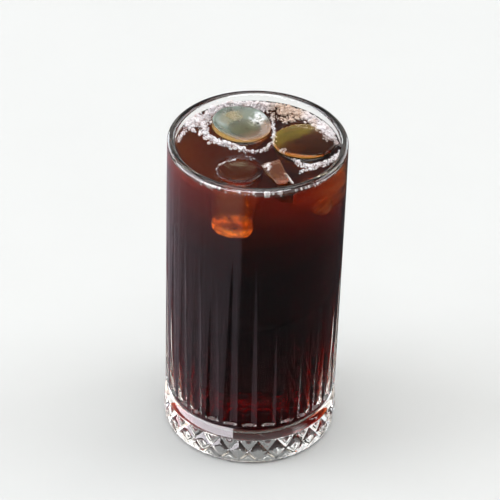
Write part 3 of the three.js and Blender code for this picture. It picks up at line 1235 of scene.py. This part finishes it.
@dataclass
class CoffeeLayers:
    """Layers inside the drink: haze where the ice melts, darker coffee lower down, and fine grounds."""

    cavity: Cavity
    overlap: float = 0.05
    overlap_step: float = 0.005
    floor_gap: float = 0.01
    ice_room: float = 0.06
    columns: int = 96
    rows: int = 36
    cap_shares: Triple = (0.2, 0.5, 0.8)

    def build(self, ice: Sequence[Ice]) -> None:
        """Builds the layers, each with a wall of its own a little inside the last one's.

        Args:
            ice: all the pieces, which are cut out of the layers.
        """
        for step, layer in enumerate(LAYERS):
            finish = LayerFinish(layer.name, layer.absorption, layer.haze)
            vertices, faces = self.body(layer, self.overlap - self.overlap_step * step)
            piece = make_piece(layer.name, vertices, faces, [finish.material()])
            cut_away(piece, [make_piece(f"room_{one.name}", *one.mesh(self.ice_room), []) for one in ice])
            put_in_model(piece, Slot.COFFEE)

    def body(self, layer: Layer, overlap: float) -> tuple[Array, Array]:
        """A layer's closed skin. Its rows lie closer together downwards, where the corner turns flat.

        Args:
            layer: the layer.
            overlap: how far it reaches into the glass.

        Returns:
            The vertices and the triangles.
        """
        azimuth = full_turn(self.columns)
        slope = -layer.slant * self.cavity.foot_radius * np.sin(azimuth)
        if layer.bottom is None:
            start, dip = self.cavity.floor_height + self.floor_gap - overlap, 0 * slope
        else:
            start, dip = layer.bottom, -slope
        low = start + dip
        height = low + (layer.top + slope - low) * np.linspace(0, 1, self.rows)[:, None] ** 3
        inside = np.maximum(height, self.cavity.floor_height)
        wall = polar(self.cavity.inner_radius(inside) + overlap, azimuth, height)
        lower_end = self.cap(wall[0], start, dip, self.cap_shares)
        upper_end = self.cap(wall[-1], layer.top, slope, self.cap_shares[::-1])
        return closed_turned_mesh(np.concatenate([lower_end, wall, upper_end]))

    @staticmethod
    def cap(edge: Array, level: float, tilt: Array, shares: Triple) -> Array:
        """Rings of a layer's end.

        Args:
            edge: the ring where the end meets the wall.
            level: height of the end's middle.
            tilt: how much higher the edge is at each azimuth.
            shares: where the rings lie, from the middle to the edge.

        Returns:
            (rings, columns, 3) points.
        """
        share = np.array(shares)[:, None]
        rings = edge * share[..., None]
        rings[..., 2] = level + tilt * share
        return rings


# Foam


@dataclass(frozen=True)
class FoamBand:
    """A band of foam: where its middle runs, its half width, how high it piles up, and bubbles per mm2."""

    path: tuple[Span, ...]
    width: float
    pile: float
    density: float


def bubble_shape() -> tuple[Array, Array]:
    """A small round bubble: an octahedron with each face split in four, drawn out to a sphere.

    Returns:
        The vertices, one millimetre from the middle, and the triangles.
    """
    corners = np.array([[1, 0, 0], [0, 1, 0], [-1, 0, 0], [0, -1, 0], [0, 0, 1], [0, 0, -1]], float)
    faces = np.array([[i, (i + 1) % 4, 4] for i in range(4)] + [[(i + 1) % 4, i, 5] for i in range(4)])
    edges = np.sort(faces[:, [0, 1, 1, 2, 2, 0]].reshape(-1, 2), axis=1)
    unique, index = np.unique(edges, axis=0, return_inverse=True)
    middles = corners[unique].sum(axis=1)
    middles /= np.linalg.norm(middles, axis=1, keepdims=True)
    ab, bc, ca = (index.reshape(-1, 3) + len(corners)).T
    a, b, c = faces.T
    split = [np.stack(t, axis=-1) for t in ((a, ab, ca), (ab, b, bc), (ca, bc, c), (ab, bc, ca))]
    return np.concatenate([corners, middles]), np.concatenate(split)


def scatter_bubbles(centres: Array, radii: Array) -> tuple[Array, Array]:
    """Copies of the bubble, joined as one mesh.

    Args:
        centres: (n, 3) middles of the bubbles.
        radii: their radii.

    Returns:
        The vertices and the triangles.
    """
    shape, faces = bubble_shape()
    vertices = centres[:, None, :] + radii[:, None, None] * shape[None]
    offsets = (np.arange(len(centres)) * len(shape))[:, None, None]
    return vertices.reshape(-1, 3), (faces[None] + offsets).reshape(-1, 3)


FOAM_BANDS = (
    FoamBand(((-33.4, 2.6), (-32.2, 6.8), (-30.4, 12.0)), 1.1, 0.9, 5.0),
    FoamBand(((-30.4, 12.6), (-28.4, 16.6), (-25.6, 21.4)), 3.8, 2.4, 5.5),
    FoamBand(((-25.4, 14.4), (-22.8, 20.2), (-18.8, 25.2)), 2.6, 2.4, 5.5),
    FoamBand(((-23.6, 17.4), (-22.6, 9.4), (-19.2, 4.2), (-13.8, 1.6), (-7.6, -1.4)), 2.0, 1.5, 5.0),
    FoamBand(((-21.4, 20.4), (-18.2, 25.2), (-12.8, 28.6), (-7.0, 29.6), (-1.0, 29.0), (3.4, 27.0)),
             2.7, 4.3, 5.5),
    FoamBand(((-7.6, -1.4), (-3.6, -3.2), (0.4, -3.2), (4.2, -0.4), (6.5, 4.6)), 1.2, 0.8, 4.5),
    FoamBand(((6.6, 5), (6.7, 9), (6.3, 14), (5.8, 19), (5.6, 25)), 1.0, 1.5, 4.5),
    FoamBand(((8.5, 26), (13, 27.2), (18, 25.6), (23, 22), (27.4, 16.6), (30.6, 11)), 3.0, 1.9, 5.0),
    FoamBand(((30.4, 12), (32.2, 7.4), (33.2, 3.6)), 1.1, 1.0, 5.0),
    FoamBand(((15.8, -8.8), (18.6, -12.0), (22.8, -12.6), (27.0, -10.4), (31.4, -7.4), (33.2, -3.6)),
             1.5, 0.9, 4.5),
    FoamBand(((17.6, -16.8), (21.0, -15.2), (24.6, -13.6)), 1.0, 0.7, 4.0),
    FoamBand(((10.0, -2.8), (11.0, -2.0), (12.0, -2.8)), 1.2, 0.8, 4.0),
    FoamBand(((-17.0, -17.6), (-16.0, -14.2), (-13.2, -11.4), (-9.0, -9.4)), 0.5, 0.5, 3.0),
    FoamBand(((15.6, 16.2), (20.4, 15.0), (25.4, 13.0)), 0.7, 1.2, 1.2),
    FoamBand(((11.6, -18.6), (13.4, -21.6), (14.6, -25.0)), 0.6, 0.7, 4.0),
    FoamBand(((-5.4, -4.6), (-4.4, -7.6), (-1.2, -9.0)), 1.2, 0.3, 1.2),
    FoamBand(((8.6, 22.4), (11.0, 20.8), (14.6, 20.8)), 1.6, 1.3, 5.0),
)


@dataclass(frozen=True)
class BeadRow:
    """Bubbles that cling to the wall at the drink's edge: from and to azimuths, how many, and their size."""

    start: float
    end: float
    count: int
    size: float


BEAD_ROWS = (
    BeadRow(-68, -64, 2, 0.40),
    BeadRow(-41, -25, 26, 0.38),
    BeadRow(-22, 2, 7, 0.30),
    BeadRow(6, 18, 12, 0.75),
    BeadRow(26, 44, 12, 0.34),
    BeadRow(44, 88, 90, 0.36),
)


@dataclass
class Foam:
    """Foam of small bubbles in bands on the drink, with rows of beads along the wall."""

    cavity: Cavity
    level: float
    bands: tuple[FoamBand, ...] = FOAM_BANDS
    wall_azimuths: Span = (-147.0, -258.0)
    wall_radius: float = 31.6
    wall_points: int = 14
    fill: float = 0.8
    full_grain_width: float = 2.2
    grains: Span = (0.55, 1.0)
    side_spread: float = 0.5
    side_limit: float = 1.1
    usual_radius: float = 0.31
    radius_spread: float = 0.55
    radii: Span = (0.13, 1.1)
    pile_shares: Span = (0.2, 1.0)
    bead_sizes: Span = (0.6, 1.25)
    bead_rise: float = 0.5
    bead_scatter: float = 0.35
    bead_gap: float = 0.06
    bead_distance: float = 0.25
    wall_gap: float = 0.03
    seed: int = 21

    def wall_band(self) -> FoamBand:
        """The broad band along the back of the wall.

        Returns:
            The band.
        """
        azimuth = np.radians(np.linspace(*self.wall_azimuths, self.wall_points))
        points = polar(self.wall_radius, azimuth, 0.0)
        return FoamBand(tuple((x, y) for x, y, _ in points), width=2.7, pile=2.2, density=5.0)

    def band_bubbles(self, band: FoamBand, draw: np.random.Generator) -> tuple[Array, Array]:
        """Bubbles of one band: even along the path, bell-shaped across it, and up to the pile's height there.

        A bubble's radius is drawn from a bell curve of its logarithm. A narrow band has finer ones.

        Args:
            band: the band.
            draw: the source of random numbers.

        Returns:
            The middles and the radii.
        """
        path = np.array(band.path)
        steps = np.hypot(*np.diff(path, axis=0).T)
        along = np.concatenate([[0], np.cumsum(steps)])
        grain = np.clip(band.width / self.full_grain_width, *self.grains)
        count = int(along[-1] * 2 * band.width * band.density * self.fill / grain)
        at = draw.uniform(0, along[-1], count)
        middle = np.stack([np.interp(at, along, path[:, i]) for i in range(2)], axis=-1)
        side = np.clip(draw.normal(0, self.side_spread, (count, 2)), -self.side_limit, self.side_limit)
        spread = np.linalg.norm(side, axis=1)
        radii = draw.lognormal(math.log(self.usual_radius), self.radius_spread, count)
        radii = grain * np.clip(radii, *self.radii)
        height = band.pile * (1 - np.clip(spread, 0, 1) ** 2) * draw.uniform(*self.pile_shares, count)
        return np.column_stack([middle + side * band.width, self.level + height]), radii

    def row_bubbles(self, row: BeadRow, draw: np.random.Generator) -> tuple[Array, Array]:
        """Bubbles of one row, which touch the wall just above and below the drink's edge.

        Args:
            row: the row.
            draw: the source of random numbers.

        Returns:
            The middles and the radii.
        """
        azimuth = np.radians(draw.uniform(row.start, row.end, row.count))
        radii = row.size * draw.uniform(*self.bead_sizes, row.count)
        height = self.level + self.bead_rise + draw.normal(0, self.bead_scatter, row.count)
        inward = radii + self.bead_gap + np.abs(draw.normal(0, self.bead_distance, row.count))
        return polar(self.cavity.wall(height) - inward, azimuth, height), radii

    def build(self) -> None:
        """Builds the foam and the beads."""
        draw = np.random.default_rng(self.seed)
        sets = [self.band_bubbles(band, draw) for band in (*self.bands, self.wall_band())]
        sets += [self.row_bubbles(row, draw) for row in BEAD_ROWS]
        centres = np.concatenate([centre for centre, _ in sets])
        radii = np.concatenate([radius for _, radius in sets])
        reach = np.hypot(centres[:, 0], centres[:, 1]) + radii
        free = reach < self.cavity.wall(centres[:, 2]) - self.wall_gap
        vertices, faces = scatter_bubbles(centres[free], radii[free])
        piece = make_piece("coffee_foam", vertices, faces, [FoamFinish().material()])
        put_in_model(piece, Slot.COFFEE)


# The studio


@dataclass
class PhotoCamera:
    """The camera of the photo: it looks down at the middle of the glass from a little over a metre."""

    distance: float = 1300.0
    elevation: float = 36.72
    yaw: float = -0.103
    pitch: float = 36.17
    roll: float = 1.83
    lens_per_frame: float = 3009 / 500
    sensor: float = 36.0
    aim_height: float = 72.95
    sight: float = 20000.0

    def build(self) -> None:
        """Creates the camera and makes it the scene's own."""
        rise, yaw, pitch, roll = np.radians([self.elevation, self.yaw, self.pitch, self.roll])
        place = np.array([0, -math.cos(rise), math.sin(rise)]) * self.distance + [0, 0, self.aim_height]
        ahead = np.array([math.sin(yaw) * math.cos(pitch), math.cos(yaw) * math.cos(pitch), -math.sin(pitch)])
        right = np.cross(ahead, [0, 0, 1])
        right /= np.linalg.norm(right)
        upward = np.cross(right, ahead)
        turned_right = math.cos(roll) * right + math.sin(roll) * upward
        turned_up = -math.sin(roll) * right + math.cos(roll) * upward
        data = bpy.data.cameras.new("photo_camera")
        data.sensor_width = self.sensor
        data.lens = self.lens_per_frame * self.sensor
        data.clip_end = self.sight * MM
        camera = bpy.data.objects.new("photo_camera", data)
        matrix = np.eye(4)
        matrix[:3, :3] = np.stack([turned_right, turned_up, -ahead], axis=1)
        matrix[:3, 3] = place * MM
        camera.matrix_world = Matrix(matrix.tolist())
        bpy.context.scene.collection.objects.link(camera)
        bpy.context.scene.camera = camera


@dataclass(frozen=True)
class LightPatch:
    """A soft-edged patch of light in the room, as ranges of azimuth and elevation in degrees."""

    azimuths: Span
    elevations: Span
    radiance: float
    colour: Triple = (1.0, 1.0, 1.0)
    soft: float = 6.0
    side_soft: float = 6.0
    streaks: float = 0.0

    def mask(self, azimuth: Wire, elevation: Wire) -> Wire:
        """1 inside the ranges, falling to 0 over the soft edges outside them, with upright streaks.

        Args:
            azimuth: the azimuth in degrees.
            elevation: the elevation in degrees.

        Returns:
            The share of light.
        """
        around = self.band(azimuth, self.azimuths, self.side_soft)
        if self.streaks > 0:
            noise = azimuth.graph.node("ShaderNodeTexNoise", {"noise_dimensions": "1D"}, {
                "W": azimuth, "Scale": 0.16, "Detail": 4.0, "Roughness": 0.7}, "Fac")
            around = around * (1.0 - self.streaks + 2.0 * self.streaks * noise)
        return around * self.band(elevation, self.elevations, self.soft)

    @staticmethod
    def band(angle: Wire, span: Span, soft: float) -> Wire:
        """1 within a span of an angle, falling to 0 over its soft edges."""
        rising = angle.ramp(span[0] - soft, span[0])
        return rising * (1.0 - angle.ramp(span[1], span[1] + soft))


LIGHT_PATCHES = (
    LightPatch((-200, 200), (62, 100), 3.3, soft=8),
    LightPatch((-150, -50), (10, 45), 1.0, (0.95, 0.97, 1.0)),
    LightPatch((-105, -68), (14, 46), 5.0, (0.90, 0.94, 1.0), soft=3, side_soft=3),
    LightPatch((80, 112), (8, 42), 4.5, (0.92, 0.95, 1.0), soft=3, side_soft=3),
    LightPatch((112, 150), (6, 34), 2.0, (1.0, 0.98, 0.95)),
    LightPatch((-200, -168), (22, 54), -0.22, side_soft=4),
    LightPatch((168, 200), (22, 54), -0.22, side_soft=4),
    LightPatch((-200, -18), (-100, -24), 0.38, (1.0, 0.82, 0.96), side_soft=3, streaks=0.8),
    LightPatch((-110, -20), (-24, 4), 11.5, (0.95, 0.93, 1.0), soft=2, side_soft=2),
)


@dataclass(frozen=True)
class LightCard:
    """A soft card that shows only as highlights on gloss, and doesn't light the floor or the drink."""

    azimuth: float
    elevation: float
    width: float
    height: float
    radiance: float
    distance: float = 1200.0
    colour: Colour = (0.92, 0.96, 1.0, 1.0)

    def build(self, name: str) -> None:
        """Builds the card at its distance, square to the glass.

        Args:
            name: the card's name.
        """
        turn, lift = math.radians(self.azimuth), math.radians(self.elevation)
        towards = polar(math.cos(lift), turn, math.sin(lift))
        across = np.array([math.cos(turn), math.sin(turn), 0.0])
        up = polar(-math.sin(lift), turn, math.cos(lift))
        sides = SQUARE * (self.width, self.height)
        corners = towards * self.distance + sides @ np.stack([across, up])
        material, graph = new_material(name)
        light = {"Color": self.colour, "Strength": self.radiance}
        graph.finish(graph.node("ShaderNodeEmission", None, light))
        card = make_piece(name, corners, ONE_QUAD, [material])
        card.visible_camera = False
        card.visible_diffuse = False
        card.visible_transmission = False
        card.visible_volume_scatter = False
        card.visible_shadow = False


LIGHT_CARDS = (
    LightCard(5, 36, 1400, 640, 10.0),
    LightCard(-132, 12, 760, 700, 7.0),
    LightCard(132, 14, 760, 700, 5.0),
)


@dataclass
class Studio:
    """Plain pale floor in a dim room with large soft light patches and cards."""

    patches: tuple[LightPatch, ...] = LIGHT_PATCHES
    cards: tuple[LightCard, ...] = LIGHT_CARDS
    room: Colour = (0.3, 0.31, 0.32, 1.0)
    below: Colour = (0.05, 0.05, 0.055, 1.0)
    floor_size: float = 4000.0
    floor_drop: float = 0.03

    def build(self) -> None:
        """Builds the floor and the room's light. Gloss on the glass mirrors the room, not the floor."""
        corners = np.column_stack([SQUARE * self.floor_size, np.full(4, -self.floor_drop)])
        floor = make_piece("pale_floor", corners, ONE_QUAD, [FloorFinish().material()])
        floor.visible_glossy = False
        for number, card in enumerate(self.cards):
            card.build(f"light_card_{number}")
        world = bpy.data.worlds.new("room_light")
        world.use_nodes = True
        graph = Graph(world.node_tree)
        direction = graph.node("ShaderNodeTexCoord", output="Generated")
        split = graph.make("ShaderNodeSeparateXYZ", None, {0: direction})
        x, y, z = (Wire(graph, socket) for socket in split.outputs)
        azimuth = x.turn_from(0.0 - y) * math.degrees(1)
        elevation = z.arcsine() * math.degrees(1)
        colour = graph.blend(z > 0.0, self.below, self.room)
        for patch in self.patches:
            light = tuple(value * patch.radiance for value in patch.colour) + (1.0,)
            colour = graph.add_colour(colour, light, patch.mask(azimuth, elevation))
        shade = graph.node("ShaderNodeBackground", None, {"Color": colour, "Strength": 1.0})
        graph.make("ShaderNodeOutputWorld", None, {"Surface": shade})
        bpy.context.scene.world = world

    @staticmethod
    def set_light_paths() -> None:
        """Lets light pass many clear surfaces, and keeps colours plain."""
        scene = bpy.context.scene
        scene.cycles.max_bounces = 32
        scene.cycles.transmission_bounces = 32
        scene.cycles.transparent_max_bounces = 32
        scene.cycles.glossy_bounces = 8
        scene.cycles.diffuse_bounces = 3
        scene.cycles.volume_bounces = 2
        scene.cycles.sample_clamp_indirect = 6.0
        scene.view_settings.view_transform = "Standard"
        scene.view_settings.look = "None"


def main() -> None:
    """Builds the glass, the drink, the ice, the foam and the studio, in that order."""
    logging.basicConfig(level=logging.INFO, format="%(message)s")
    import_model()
    _, glass_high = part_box(Node.GLASS.value)
    PhotoCamera().build()
    cavity = Cavity()
    glass = FlutedGlass(cavity, height=glass_high.z / MM, radius=round(glass_high.x / MM, 1))
    glass.build()
    Coffee(cavity, glass.level).build(SURFACE_ICE, SUNK_ICE)
    CoffeeLayers(cavity).build(SURFACE_ICE + SUNK_ICE)
    IceSet(SURFACE_ICE + SUNK_ICE).build()
    Foam(cavity, glass.level).build()
    Studio().build()
    Studio.set_light_paths()


if __name__ == "__main__":
    main()
